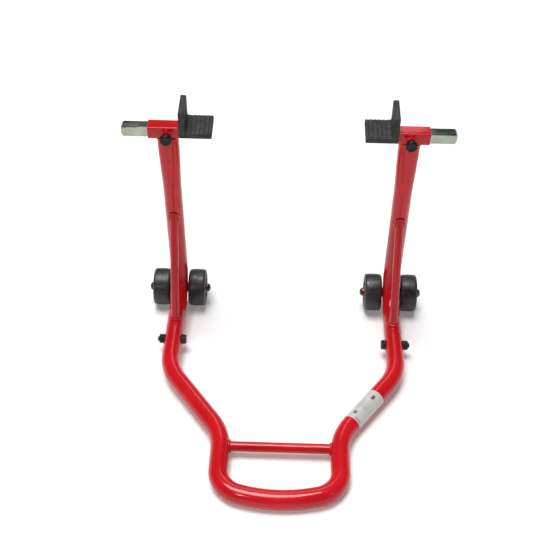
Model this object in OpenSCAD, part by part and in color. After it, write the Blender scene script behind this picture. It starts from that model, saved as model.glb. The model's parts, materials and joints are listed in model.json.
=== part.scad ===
/* [Tubes] */
// Outside diameter of the handle and arm tubes
tube_od = 28; // [27:0.5:29]
// Wall thickness of the handle and arm tubes
tube_wall = 2; // [1.5:0.5:2.5]
// Outside diameter of the crossbar and brace tubes
brace_od = 13; // [11:1:15]
// Wall thickness of the crossbar and brace tubes
brace_wall = 1.5; // [1:0.5:2]

/* [Arms] */
// Distance between the centre lines of the two arms
arm_spacing = 352; // [340:2:370]
// Height of the sliding bars' centre line above the floor
bar_height = 360; // [345:1:375]
// Backward lean of the uprights, in degrees
arm_lean = 7.3; // [5:0.1:10]
// Centre line radius of the bend between upright and leg
arm_bend_r = 56; // [52:1:60]
// Angle above the horizontal from the axle to the middle of that bend
axle_angle = 41; // [38:1:44]
// Height at which the brace meets the upright's centre line
brace_top_h = 221; // [205:1:230]
// Distance behind the axle at which the brace meets the leg's centre line
brace_reach = 91; // [87:1:93]

/* [Handle] */
// Distance from the axle back to the centre line of the grip
grip_reach = 426; // [415:1:440]
// Distance from the axle back to the joint between arm and handle
joint_reach = 98; // [97:1:103]
// Distance between the centre lines of the grip's two sides
grip_w = 172; // [164:2:180]
// Length of each side of the grip, from the diagonal to the corner
grip_side = 66; // [60:1:72]
// Angle of the diagonals to the grip's sides, in degrees
diagonal_angle = 35.4; // [34:0.2:37]
// Centre line radius of the four wide bends
wide_bend_r = 90; // [70:5:100]
// Centre line radius of the grip's two corners
corner_r = 42; // [38:1:46]
// Angle through which each corner of the grip turns
corner_turn = 75; // [70:1:80]
// Distance from the grip's centre line forward to the crossbar
crossbar_offset = 91; // [84:1:96]
// Distance from the joint back to its bolt
bolt_back = 23; // [19:1:25]
// Length of the inner sleeve in each end of the handle
sleeve_back = 42; // [42:1:46]
// Length of the inner sleeve in each arm
sleeve_front = 28; // [22:1:30]

/* [Wheels] */
// Diameter of the wheels over the tyre
wheel_d = 62; // [60:1:64]
// Width of each wheel
wheel_w = 28; // [26:1:30]
// Diameter of the wheel's core, inside the tyre
core_d = 42; // [36:1:46]
// Diameter of the axles
axle_d = 8; // [8:1:10]
// Outside diameter of the axle boss
boss_d = 16; // [15:1:18]
// Length of the axle boss
boss_len = 27; // [25:1:30]

/* [Sockets] */
// Outside size of the square socket tube
socket_size = 20; // [19:0.5:22]
// Wall thickness of the socket tube
socket_wall = 1.6; // [1.5:0.1:2]
// Length of the socket tube
socket_len = 45; // [40:1:50]
// Size of the square sliding bar
bar_size = 16; // [15:0.5:16.2]
// How far the socket reaches inward past the upright
socket_inset = 3; // [0:0.5:5]
// How far the bar stands out of the socket when it is fully out
bar_out = 39; // [30:1:45]
// Chamfer around the outer end of the bar
bar_chamfer = 3; // [1:0.5:4]
// How far each bar can be pushed inward
bar_travel = 32; // [20:1:32]

/* [Supports] */
// Thickness of the steel angle
angle_t = 4; // [3:0.5:5]
// Width of the steel angle, front to back
angle_w = 40; // [35:1:50]
// Height of the angle's upright leg
angle_h = 42; // [35:1:50]
// Length of the angle's lying leg
angle_l = 45; // [40:1:50]
// Thickness of the rubber on the faces that carry the swingarm
pad_t = 5; // [3:0.5:6]
// Thickness of the rubber around the edges of the angle
pad_lip = 2.5; // [1.5:0.5:3]

/* [Clamp] */
// Diameter of the clamp knob
knob_d = 18; // [16:1:20]
// Thickness of the knob's disc
knob_t = 7; // [6:0.5:9]
// Diameter of the collar on the knob's near side
knob_collar_d = 12; // [11:0.5:13]
// Distance from the socket's rear face to the near face of the knob
knob_gap = 8; // [7.5:0.5:10]

/* [Hidden] */
$fn = 64;

CUT = 1;              // how far a cutting shape runs past the face it cuts
RUN = 0.05;           // radial clearance of a shaft that turns or slides in a hole
GAP = 0.4;            // clearance between faces that move past each other
LAP = 0.5;            // overlap of a tube's straight and bent stretches
THIN = 0.1;           // how much a bend is slimmer than a straight, so that the two blend cleanly
HEX = 2 / sqrt(3);    // across corners over across flats

tube_r = tube_od / 2;
tube_id = tube_od - 2 * tube_wall;
arm_x = arm_spacing / 2;
wheel_r = wheel_d / 2;
axle_y = (grip_reach + tube_r - wheel_r) / 2;

// Side view of an arm as [Y, Z]: the bend's centre lies up and back from the axle, and the
// leg is the line that touches the bend and brings the grip down to the floor.
weld_sink = 1;
bend_gap = arm_bend_r + tube_r + boss_d / 2 - weld_sink;
bend_c = [axle_y - bend_gap * cos(axle_angle), wheel_r + bend_gap * sin(axle_angle)];
grip_c = [axle_y - grip_reach, tube_r];
grip_to_bend = bend_c - grip_c;
leg_slope = atan2(grip_to_bend.y, grip_to_bend.x) - asin(arm_bend_r / norm(grip_to_bend));
leg_top = bend_c + arm_bend_r * [sin(leg_slope), -cos(leg_slope)];
upright_foot = bend_c + arm_bend_r * [cos(arm_lean), sin(arm_lean)];
socket_rise = (bar_height - upright_foot.y) / cos(arm_lean);
socket_c = upright_foot + socket_rise * [-sin(arm_lean), cos(arm_lean)];
upright_len = socket_rise - socket_size / 2;
leg_len = (leg_top.x - (axle_y - joint_reach)) / cos(leg_slope);
joint_c = leg_top - leg_len * [cos(leg_slope), sin(leg_slope)];
brace_top = upright_foot + (brace_top_h - upright_foot.y) * [-tan(arm_lean), 1];
brace_foot = leg_top - (leg_top.x - axle_y + brace_reach) * [1, tan(leg_slope)];

// Plan view of the handle, in the sloping plane of the legs
handle_len = (joint_c.x - grip_c.x) / cos(leg_slope);
rear_turn = 90 - corner_turn;
link = 3;             // straight stretch between a corner and the grip's rear bow
link_w = link * sin(corner_turn);
rear_r = (grip_w / 2 - corner_r * (1 - cos(corner_turn)) - link_w) / sin(rear_turn);
rear_depth = rear_r * (1 - cos(rear_turn));
corner_depth = corner_r * sin(corner_turn) + link * cos(corner_turn) + rear_depth;
diagonal_dx = arm_x - grip_w / 2;
bend_tangent = wide_bend_r * tan(diagonal_angle / 2);
diagonal_len = diagonal_dx / sin(diagonal_angle) - 2 * bend_tangent;
grip_side_len = grip_side - bend_tangent;
end_len = handle_len - corner_depth - grip_side - diagonal_dx / tan(diagonal_angle) - bend_tangent;

// Joint between arm and handle
bolt_d = 8;
bolt_hole_d = 8.4;
hex_af = 13;
bolt_head_h = 5.5;
nut_h = 6.5;
washer_d = 16;
washer_t = 1.2;
bolt_tip = 2.5;
sleeve_od = tube_id - 0.2;
sleeve_wall = 2.5;

// Along each axle, measured from the arm's centre plane
wheel_in = boss_len / 2 + washer_t + GAP;
wheel_out = wheel_in + wheel_w;
cap_seat = wheel_out + GAP;
cap_flange_d = 16;
cap_flange_t = 1;
cap_dome_r = 7.2;
cap_bore = 4;
tyre_edge_r = 4;
tyre_crown_r = 90;
core_face_w = wheel_w - 1.5;
core_hub_d = 20;
core_rim_w = 4;
core_recess = 5;
core_ribs = 6;
core_rib_w = 2.4;

// Along a socket, with X outward from the arm's centre line
socket_in = -tube_r - socket_inset;
socket_out = socket_in + socket_len;
socket_edge_r = 1.5;
angle_face = socket_in - GAP;
bar_low = -bar_size / 2;
stud_d = 8;
stud_tip_gap = 0.3;
stud_in_knob = 8;
knob_collar_t = 4;
knob_edge = 2;
knob_dish_d = 9;
knob_dish = 0.8;

// ---- helpers ----

// A round bar bent in its XY plane from the origin; a move is [straight, bend radius, turn].
// Its ends run past their places by before and after.
module bent_rod(moves, d, before = 0, after = 0, i = 0) {
    straight = moves[i][0];
    r = moves[i][1];
    turn = moves[i][2];
    side = sign(turn);
    start = i == 0 ? -before : -LAP;
    end = straight + (turn == 0 ? after : LAP);
    translate([start, 0, 0]) rotate([0, 90, 0]) cylinder(h = end - start, d = d);
    translate([straight, side * r, 0]) {
        if (turn != 0)
            rotate([0, 0, -side * 90 + min(turn, 0)])
                rotate_extrude(angle = abs(turn)) translate([r, 0]) circle(d = d - THIN);
        if (i < len(moves) - 1)
            rotate([0, 0, turn]) translate([0, -side * r, 0])
                bent_rod(moves, d, before, after, i + 1);
    }
}

// Cylinder along X, centred on the origin
module x_rod(d, h) rotate([0, 90, 0]) cylinder(d = d, h = h, center = true);

// Cylinder along X between two stations
module x_span(d, from, to) translate([(from + to) / 2, 0, 0]) x_rod(d, to - from);

// Washer lying on the plane X = from
module x_washer(from, hole) {
    difference() {
        x_span(washer_d, from, from + washer_t);
        x_span(hole, from - CUT, from + washer_t + CUT);
    }
}

// Hexagonal prism along X
module x_hex(from, to) {
    translate([from, 0, 0]) rotate([0, 90, 0]) cylinder(d = hex_af * HEX, h = to - from, $fn = 6);
}

module rounded_square(size, r) {
    square([size - 2 * r, size], center = true);
    square([size, size - 2 * r], center = true);
    for (sx = [-1, 1], sy = [-1, 1])
        translate([sx, sy] * (size / 2 - r)) circle(r = r);
}

// Everything about an arm is drawn for the right side and mirrored for the left
module on_side(side) {
    if (side < 0) mirror([1, 0, 0]) children();
    else children();
}

// Side plane of an arm: X of the child runs along +Y and Y along +Z
module in_side_plane(side, at = [0, 0]) {
    on_side(side) translate([arm_x, at.x, at.y]) rotate([90, 0, 90]) children();
}

// Frame of the joint: X across, -Y down the handle's leg
module at_joint(side) {
    on_side(side) translate([arm_x, joint_c.x, joint_c.y]) rotate([leg_slope, 0, 0]) children();
}

module at_axle(side) on_side(side) translate([arm_x, axle_y, wheel_r]) children();

// Frame of a socket: X outward, Z up along the leaning upright
module at_socket(side) {
    on_side(side) translate([arm_x, socket_c.x, socket_c.y]) rotate([arm_lean, 0, 0]) children();
}

// ---- handle ----

handle_moves = [
    [end_len, wide_bend_r, -diagonal_angle],
    [diagonal_len, wide_bend_r, diagonal_angle],
    [grip_side_len, corner_r, -corner_turn],
    [link, rear_r, -2 * rear_turn],
    [link, corner_r, -corner_turn],
    [grip_side_len, wide_bend_r, diagonal_angle],
    [diagonal_len, wide_bend_r, -diagonal_angle],
    [end_len, 0, 0]
];

module handle_tube() {
    color("firebrick") difference() {
        at_joint(1) rotate([0, 0, -90]) bent_rod(handle_moves, tube_od);
        at_joint(1) rotate([0, 0, -90]) bent_rod(handle_moves, tube_id, CUT, CUT);
        for (side = [-1, 1])
            at_joint(side) translate([0, -bolt_back, 0]) x_rod(bolt_hole_d, tube_od + 2 * CUT);
    }
}

module handle_crossbar() {
    color("firebrick") difference() {
        translate([0, joint_c.x, joint_c.y]) rotate([leg_slope, 0, 0])
            translate([0, crossbar_offset - handle_len, 0]) difference() {
                x_rod(brace_od, grip_w);
                x_rod(brace_od - 2 * brace_wall, grip_w + 2 * CUT);
            }
        at_joint(1) rotate([0, 0, -90]) bent_rod(handle_moves, tube_od);
    }
}

// ---- arms ----

arm_moves = [
    [upright_len, arm_bend_r, -(90 + arm_lean - leg_slope)],
    [leg_len, 0, 0]
];
arm_top = upright_foot + upright_len * [-sin(arm_lean), cos(arm_lean)];

module at_arm_top(side) {
    in_side_plane(side, arm_top) rotate([0, 0, arm_lean - 90]) children();
}

// The bore stops short of the top, where the socket closes the tube
module arm_tube(side) {
    color("firebrick") difference() {
        at_arm_top(side) bent_rod(arm_moves, tube_od);
        at_arm_top(side) bent_rod(arm_moves, tube_id, -tube_wall, CUT);
    }
}

module left_arm_tube() arm_tube(-1);
module right_arm_tube() arm_tube(1);

module arm_brace(side) {
    run = brace_foot - brace_top;
    color("firebrick") difference() {
        in_side_plane(side, brace_top) rotate([0, 0, atan2(run.y, run.x)]) rotate([0, 90, 0])
            difference() {
                cylinder(d = brace_od, h = norm(run));
                translate([0, 0, -CUT])
                    cylinder(d = brace_od - 2 * brace_wall, h = norm(run) + 2 * CUT);
            }
        at_arm_top(side) bent_rod(arm_moves, tube_od);
    }
}

module left_arm_brace() arm_brace(-1);
module right_arm_brace() arm_brace(1);

// ---- joint between arm and handle ----

module joint_sleeve(side) {
    color("dimgray") at_joint(side) difference() {
        rotate([90, 0, 0]) difference() {
            translate([0, 0, -sleeve_front]) cylinder(d = sleeve_od, h = sleeve_front + sleeve_back);
            translate([0, 0, -sleeve_front - CUT])
                cylinder(d = sleeve_od - 2 * sleeve_wall, h = sleeve_front + sleeve_back + 2 * CUT);
        }
        translate([0, -bolt_back, 0]) x_rod(bolt_hole_d, tube_od);
    }
}

module left_joint_sleeve() joint_sleeve(-1);
module right_joint_sleeve() joint_sleeve(1);

module at_joint_bolt(side) at_joint(side) translate([0, -bolt_back, 0]) children();

module joint_bolts() {
    color("black") for (side = [-1, 1]) at_joint_bolt(side) {
        x_span(bolt_d, -tube_r - washer_t, tube_r + washer_t + nut_h + bolt_tip);
        x_hex(-tube_r - washer_t - bolt_head_h, -tube_r - washer_t);
    }
}

module joint_washers() {
    color("black") for (side = [-1, 1], from = [-tube_r - washer_t, tube_r])
        at_joint_bolt(side) x_washer(from, bolt_hole_d);
}

module joint_nuts() {
    color("black") for (side = [-1, 1]) at_joint_bolt(side) difference() {
        x_hex(tube_r + washer_t, tube_r + washer_t + nut_h);
        x_span(bolt_d, tube_r, tube_r + washer_t + nut_h + CUT);
    }
}

// ---- wheels ----

module axle_boss(side) {
    color("firebrick") difference() {
        at_axle(side) difference() {
            x_rod(boss_d, boss_len);
            x_rod(axle_d, boss_len + 2 * CUT);
        }
        at_arm_top(side) bent_rod(arm_moves, tube_od);
    }
}

module left_axle_boss() axle_boss(-1);
module right_axle_boss() axle_boss(1);

module axle(side) color("silver") at_axle(side) x_rod(axle_d, 2 * (cap_seat + cap_bore));

module left_axle() axle(-1);
module right_axle() axle(1);

module axle_washers() {
    color("silver") for (side = [-1, 1], end = [-1, 1]) at_axle(side)
        mirror([end < 0 ? 1 : 0, 0, 0]) x_washer(boss_len / 2, axle_d);
}

module axle_caps() {
    color("rosybrown") for (side = [-1, 1], end = [-1, 1]) at_axle(side)
        mirror([end < 0 ? 1 : 0, 0, 0]) difference() {
            union() {
                x_span(cap_flange_d, cap_seat, cap_seat + cap_flange_t);
                intersection() {
                    translate([cap_seat, 0, 0]) sphere(r = cap_dome_r);
                    x_span(2 * cap_dome_r, cap_seat, cap_seat + 2 * cap_dome_r);
                }
            }
            x_span(axle_d, cap_seat - CUT, cap_seat + cap_bore);
        }
}

// Half of the tyre's cross-section outline: X is the radius, Y runs across the wheel
module tyre_profile() {
    intersection() {
        translate([core_d / 2, -wheel_w / 2]) square([wheel_r - core_d / 2, wheel_w]);
        translate([wheel_r - tyre_crown_r, 0]) circle(r = tyre_crown_r, $fn = 360);
        union() {
            translate([0, -wheel_w / 2]) square([wheel_r - tyre_edge_r, wheel_w]);
            translate([0, tyre_edge_r - wheel_w / 2]) square([wheel_r, wheel_w - 2 * tyre_edge_r]);
            for (s = [-1, 1])
                translate([wheel_r - tyre_edge_r, s * (wheel_w / 2 - tyre_edge_r)])
                    circle(r = tyre_edge_r);
        }
    }
}

// Wheel frame: end is 1 for the outer wheel of an arm and -1 for the inner one
module at_wheel(side, end) {
    at_axle(side) translate([end * (wheel_in + wheel_out) / 2, 0, 0]) rotate([0, 90, 0]) children();
}

module tyre(side, end) {
    color("#202020") at_wheel(side, end) rotate_extrude() tyre_profile();
}

module core_half_recess() {
    translate([0, 0, core_face_w / 2 - core_recess]) difference() {
        cylinder(d = core_d - 2 * core_rim_w, h = core_recess + CUT);
        translate([0, 0, -CUT]) cylinder(d = core_hub_d, h = core_recess + 3 * CUT);
        for (i = [0 : core_ribs - 1]) rotate([0, 0, i * 360 / core_ribs])
            translate([0, -core_rib_w / 2, -CUT]) cube([core_d, core_rib_w, core_recess + CUT]);
    }
}

module core(side, end) {
    color("#2b2b2b") at_wheel(side, end) difference() {
        cylinder(d = core_d, h = core_face_w, center = true);
        cylinder(d = axle_d + 2 * RUN, h = wheel_w + 2 * CUT, center = true);
        core_half_recess();
        mirror([0, 0, 1]) core_half_recess();
    }
}

module left_outer_tyre() tyre(-1, 1);
module left_outer_core() core(-1, 1);
module left_inner_tyre() tyre(-1, -1);
module left_inner_core() core(-1, -1);
module right_inner_tyre() tyre(1, -1);
module right_inner_core() core(1, -1);
module right_outer_tyre() tyre(1, 1);
module right_outer_core() core(1, 1);

// ---- sockets, sliding bars and supports ----

module socket(side) {
    color("firebrick") at_socket(side) difference() {
        translate([socket_in, 0, 0]) rotate([90, 0, 90]) linear_extrude(socket_len) difference() {
            rounded_square(socket_size, socket_edge_r);
            square(socket_size - 2 * socket_wall, center = true);
        }
        rotate([90, 0, 0]) cylinder(d = stud_d + 2 * RUN, h = socket_size);
    }
}

module left_socket() socket(-1);
module right_socket() socket(1);

module clamp_nut(side) {
    color("firebrick") at_socket(side) translate([0, -socket_size / 2, 0]) rotate([90, 30, 0])
        difference() {
            cylinder(d = hex_af * HEX, h = nut_h, $fn = 6);
            translate([0, 0, -CUT]) cylinder(d = stud_d + 2 * RUN, h = nut_h + 2 * CUT);
        }
}

module left_clamp_nut() clamp_nut(-1);
module right_clamp_nut() clamp_nut(1);

module clamp_stud(side) {
    tip = bar_size / 2 + stud_tip_gap;
    tail = socket_size / 2 + knob_gap + stud_in_knob;
    color("silver") at_socket(side) translate([0, -tip, 0]) rotate([90, 0, 0])
        cylinder(d = stud_d, h = tail - tip);
}

module left_clamp_stud() clamp_stud(-1);
module right_clamp_stud() clamp_stud(1);

// Half section of the knob's disc, with round edges
module knob_profile() {
    square([knob_d / 2 - knob_edge, knob_t]);
    translate([0, knob_edge]) square([knob_d / 2, knob_t - 2 * knob_edge]);
    for (y = [knob_edge, knob_t - knob_edge])
        translate([knob_d / 2 - knob_edge, y]) circle(r = knob_edge);
}

module clamp_knob(side) {
    color("#181818") at_socket(side) translate([0, -socket_size / 2 - knob_gap, 0])
        rotate([90, 0, 0]) difference() {
            union() {
                cylinder(d = knob_collar_d, h = knob_collar_t + knob_edge);
                translate([0, 0, knob_collar_t]) rotate_extrude() knob_profile();
            }
            translate([0, 0, knob_collar_t + knob_t - knob_dish])
                cylinder(d = knob_dish_d, h = knob_dish + CUT);
            translate([0, 0, -CUT]) cylinder(d = stud_d + 2 * RUN, h = stud_in_knob + GAP + CUT);
        }
}

module left_clamp_knob() clamp_knob(-1);
module right_clamp_knob() clamp_knob(1);

// Square bar with its outer end chamfered on all four sides
module slide_bar(side) {
    length = socket_out + bar_out - angle_face;
    half = bar_size / 2;
    outline = [[0, -half], [length - bar_chamfer, -half], [length, bar_chamfer - half],
        [length, half - bar_chamfer], [length - bar_chamfer, half], [0, half]];
    color("lightgray") at_socket(side) translate([angle_face, 0, 0]) intersection() {
        linear_extrude(bar_size, center = true) polygon(outline);
        rotate([90, 0, 0]) linear_extrude(bar_size, center = true) polygon(outline);
    }
}

module left_slide_bar() slide_bar(-1);
module right_slide_bar() slide_bar(1);

// Prism of an L-shaped outline in XZ, from y0 to y1; the L opens inward and upward
module ell(y0, y1, inward, rise, t_up, t_low) {
    translate([angle_face, y1, bar_low]) rotate([90, 0, 0]) linear_extrude(y1 - y0)
        polygon([[0, 0], [0, rise], [-t_up, rise], [-t_up, t_low], [-inward, t_low], [-inward, 0]]);
}

module support_angle(side) {
    color("silver") at_socket(side)
        ell(bar_low, bar_low + angle_w, angle_l, angle_h, angle_t, angle_t);
}

module left_support_angle() support_angle(-1);
module right_support_angle() support_angle(1);

module support_pad(side) {
    thick = angle_t + pad_t;
    color("#1c1c1c") at_socket(side) difference() {
        ell(bar_low - pad_lip, bar_low + angle_w + pad_lip,
            angle_l + pad_lip, angle_h + pad_lip, thick, thick);
        ell(bar_low, bar_low + angle_w, angle_l, angle_h, angle_t, angle_t);
    }
}

module left_support_pad() support_pad(-1);
module right_support_pad() support_pad(1);

handle_tube();
handle_crossbar();
left_arm_tube();
right_arm_tube();
left_arm_brace();
right_arm_brace();
left_joint_sleeve();
right_joint_sleeve();
joint_bolts();
joint_washers();
joint_nuts();
left_axle_boss();
right_axle_boss();
left_axle();
right_axle();
axle_washers();
axle_caps();
left_outer_tyre();
left_outer_core();
left_inner_tyre();
left_inner_core();
right_inner_tyre();
right_inner_core();
right_outer_tyre();
right_outer_core();
left_socket();
right_socket();
left_clamp_nut();
right_clamp_nut();
left_clamp_stud();
right_clamp_stud();
left_clamp_knob();
right_clamp_knob();
left_slide_bar();
right_slide_bar();
left_support_angle();
right_support_angle();
left_support_pad();
right_support_pad();
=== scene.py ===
"""Looks of the paddock stand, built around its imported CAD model. All lengths are in metres."""

import json
import math

import bmesh
import bpy
from mathutils import Matrix, Vector
from mathutils.bvhtree import BVHTree


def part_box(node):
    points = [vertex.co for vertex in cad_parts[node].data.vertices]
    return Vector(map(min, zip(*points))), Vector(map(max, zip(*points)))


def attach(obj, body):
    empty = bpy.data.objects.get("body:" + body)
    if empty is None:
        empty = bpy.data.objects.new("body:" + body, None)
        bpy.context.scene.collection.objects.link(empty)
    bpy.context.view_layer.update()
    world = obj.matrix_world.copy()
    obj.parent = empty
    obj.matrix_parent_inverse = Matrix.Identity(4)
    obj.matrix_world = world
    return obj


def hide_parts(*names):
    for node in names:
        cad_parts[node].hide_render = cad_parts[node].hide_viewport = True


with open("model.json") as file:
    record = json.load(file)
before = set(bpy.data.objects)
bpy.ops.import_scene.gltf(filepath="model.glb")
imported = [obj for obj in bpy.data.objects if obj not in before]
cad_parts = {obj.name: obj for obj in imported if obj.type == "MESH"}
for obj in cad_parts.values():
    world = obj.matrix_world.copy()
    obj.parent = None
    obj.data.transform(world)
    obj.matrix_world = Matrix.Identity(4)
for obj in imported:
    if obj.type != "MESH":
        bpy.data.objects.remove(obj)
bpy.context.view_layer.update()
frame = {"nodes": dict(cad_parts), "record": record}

MM = 0.001
SIDES = {"left": -1, "right": 1}


# ---- places taken from the frame ----

def middle(node):
    low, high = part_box(node)
    return (low + high) / 2


def extent(node):
    low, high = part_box(node)
    return high - low


ARM_X = middle("right_axle").x
AXLE_Y = middle("right_axle").y
WHEEL_R = extent("right_outer_tyre").z / 2
WHEEL_W = extent("right_outer_tyre").x
SOCKET_Y = middle("right_socket").y
SOCKET_Z = middle("right_socket").z
SOCKET_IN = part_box("right_socket")[0].x - ARM_X
SOCKET_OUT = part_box("right_socket")[1].x - ARM_X
BAR_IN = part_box("right_slide_bar")[0].x - ARM_X
BAR_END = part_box("right_slide_bar")[1].x - ARM_X
CAP_GAP = 0.4 * MM
CAP_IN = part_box("right_outer_tyre")[1].x + CAP_GAP - ARM_X

# ---- driving dimensions, the same as the CAD source's ----

TUBE_R = 14 * MM
BRACE_R = 6.5 * MM
CROSSBAR_R = 7.4 * MM
LEAN = math.radians(7.3)
BEND_R = 56 * MM
AXLE_ANGLE = math.radians(41)
BOSS_R = 8 * MM
BOSS_HALF = 13.5 * MM
WELD_SINK = 1 * MM
BRACE_TOP_H = 221 * MM
BRACE_REACH = 91 * MM
GRIP_REACH = 426 * MM
JOINT_REACH = 98 * MM
GRIP_HALF = 86 * MM
GRIP_SIDE = 66 * MM
DIAGONAL = math.radians(35.4)
WIDE_R = 90 * MM
CORNER_R = 42 * MM
CORNER_TURN = math.radians(75)
LINK = 3 * MM
CROSSBAR_OFFSET = 91 * MM
BOLT_BACK = 23 * MM
WASHER_R = 8 * MM
WASHER_T = 1.2 * MM
WASHER_HOLE_R = 4.2 * MM
HEX_AF = 13 * MM
HEAD_H = 5.5 * MM
NUT_H = 6.5 * MM
HEAD_COLLAR_R = 5.6 * MM
BOLT_TIP = 2.5 * MM
THREAD_HIDDEN = 4 * MM
HEX_CHAMFER_R = 0.475 * HEX_AF
THREAD_R = 4 * MM
THREAD_PITCH = 1.25 * MM
SOCKET_HALF = 10 * MM
SOCKET_WALL = 1.6 * MM
BAR_HALF = 8 * MM
BAR_CHAMFER = 3 * MM
ANGLE_T = 4 * MM
ANGLE_W = 40 * MM
ANGLE_H = 42 * MM
ANGLE_L = 45 * MM
PAD_T = 5 * MM
PAD_LIP = 2.5 * MM
KNOB_GAP = 8 * MM
KNOB_R = 9 * MM
STUD_GAP = 0.3 * MM
STUD_IN_KNOB = 7.5 * MM
CORE_R = 21 * MM
HUB_R = 10 * MM
CORE_HALF = (WHEEL_W - 1.5 * MM) / 2

# ---- side view of an arm, as (Y, Z) ----

BEND_GAP = BEND_R + TUBE_R + BOSS_R - WELD_SINK
BEND_Y = AXLE_Y - BEND_GAP * math.cos(AXLE_ANGLE)
BEND_Z = WHEEL_R + BEND_GAP * math.sin(AXLE_ANGLE)
GRIP_Y = AXLE_Y - GRIP_REACH
RISE = BEND_Z - TUBE_R
RUN = BEND_Y - GRIP_Y
SLOPE = math.atan2(RISE, RUN) - math.asin(BEND_R / math.hypot(RUN, RISE))
LEG_TOP_Y = BEND_Y + BEND_R * math.sin(SLOPE)
LEG_TOP_Z = BEND_Z - BEND_R * math.cos(SLOPE)
FOOT_Y = BEND_Y + BEND_R * math.cos(LEAN)
FOOT_Z = BEND_Z + BEND_R * math.sin(LEAN)
LEG_LEN = (LEG_TOP_Y - AXLE_Y + JOINT_REACH) / math.cos(SLOPE)
UPRIGHT_LEN = (SOCKET_Z - FOOT_Z) / math.cos(LEAN) - SOCKET_HALF
HANDLE_LEN = (AXLE_Y - JOINT_REACH - GRIP_Y) / math.cos(SLOPE)


def on_leg(y):
    """Height of the leg's centre line at y"""
    return LEG_TOP_Z - (LEG_TOP_Y - y) * math.tan(SLOPE)


def on_upright(z):
    """Y of the upright's centre line at height z"""
    return FOOT_Y - (z - FOOT_Z) * math.tan(LEAN)


# ---- local frames: each maps (x, y, z) to a point; x points outward on both sides ----

def place(origin, x_axis, y_axis, z_axis):
    origin, x_axis, y_axis, z_axis = map(Vector, (origin, x_axis, y_axis, z_axis))

    def where(x, y, z):
        return origin + x * x_axis + y * y_axis + z * z_axis

    return where


def facing(origin, way):
    """Level frame whose x points along the world's x, or against it where way is -1"""
    return place(origin, (way, 0, 0), (0, 1, 0), (0, 0, 1))


def at_axle(side):
    return facing((side * ARM_X, AXLE_Y, WHEEL_R), side)


def tilted(side, y, z, tilt):
    """Frame in an arm's middle plane, its y and z axes turned up by tilt"""
    c, s = math.cos(tilt), math.sin(tilt)
    return place((side * ARM_X, y, z), (side, 0, 0), (0, c, s), (0, -s, c))


def at_socket(side):
    return tilted(side, SOCKET_Y, SOCKET_Z, LEAN)


def at_joint(side):
    y = AXLE_Y - JOINT_REACH
    return tilted(side, y, on_leg(y), SLOPE)


def shifted(where, x, y, z, axes="xyz"):
    """The same frame moved to (x, y, z), with its axes renamed: "yxz" swaps the first two, and a
    capital letter is an axis reversed"""
    origin = where(x, y, z)
    units = {"x": (1, 0, 0), "y": (0, 1, 0), "z": (0, 0, 1), "Y": (0, -1, 0), "X": (-1, 0, 0)}
    return place(origin, *(where(*units[a]) - where(0, 0, 0) for a in axes))


# ---- shapes: each is (points, faces) ----

def loft(rings, closed=False):
    """Skin over rings of as many points each. Open skins are capped at both ends."""
    count = len(rings[0])
    points = [tuple(p) for ring in rings for p in ring]
    faces = []
    for i in range(len(rings) - (0 if closed else 1)):
        a, b = i * count, (i + 1) % len(rings) * count
        for j in range(count):
            k = (j + 1) % count
            faces.append((a + j, a + k, b + k, b + j))
    if not closed:
        faces.append(tuple(range(count)))
        faces.append(tuple(range(len(points) - count, len(points))))
    return points, faces


def circle(count):
    """Cosine and sine at even steps around a full turn"""
    turns = (2 * math.pi * i / count for i in range(count))
    return [(math.cos(a), math.sin(a)) for a in turns]


def lathe(where, profile, closed=False, count=64):
    """Profile points (x, radius) turned about the local x axis"""
    return loft([[where(x, r * c, r * s) for c, s in circle(count)] for x, r in profile], closed)


def arc(x, y, r, start, end, steps=6):
    """Points on an arc, with angles in degrees"""
    angles = (math.radians(start + (end - start) * i / steps) for i in range(steps + 1))
    return [(x + r * math.cos(a), y + r * math.sin(a)) for a in angles]


def rounded_square(half, r, steps=5):
    c = half - r
    corners = ((c, c, 0), (-c, c, 90), (-c, -c, 180), (c, -c, 270))
    return [p for x, y, a in corners for p in arc(x, y, r, a, a + 90, steps)]


def rounded_outline(corners, steps=4):
    """Outline through corners given as (x, y, radius)"""
    points = []
    for i, (x, y, r) in enumerate(corners):
        here = Vector((x, y))
        back = (Vector(corners[i - 1][:2]) - here).normalized()
        on = (Vector(corners[(i + 1) % len(corners)][:2]) - here).normalized()
        half = back.angle(on) / 2
        centre = here + (back + on).normalized() * (r / math.sin(half))
        start, end = (here + d * r / math.tan(half) - centre for d in (back, on))
        turn = start.angle_signed(end)
        for k in range(steps + 1):
            points.append(centre + Matrix.Rotation(-turn * k / steps, 2) @ start)
    return points


def inset(outline, depth):
    """Outline moved inward; it runs counter-clockwise"""
    moved = []
    for i, p in enumerate(outline):
        along = (Vector(outline[(i + 1) % len(outline)]) - Vector(outline[i - 1])).normalized()
        moved.append(Vector(p) + depth * Vector((-along.y, along.x)))
    return moved


def prism(to_point, outline, start, end, edge):
    """Outline carried from start to end, with both rims rounded by edge"""
    levels = []
    for a in (0, 30, 60, 90):
        a = math.radians(a)
        levels.append((edge * (1 - math.sin(a)), edge * (1 - math.cos(a))))
    rings = [(start + rise, depth) for depth, rise in levels]
    rings += [(end - rise, depth) for depth, rise in reversed(levels)]
    return loft([[to_point(t, *p) for p in inset(outline, depth)] for t, depth in rings])


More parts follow.
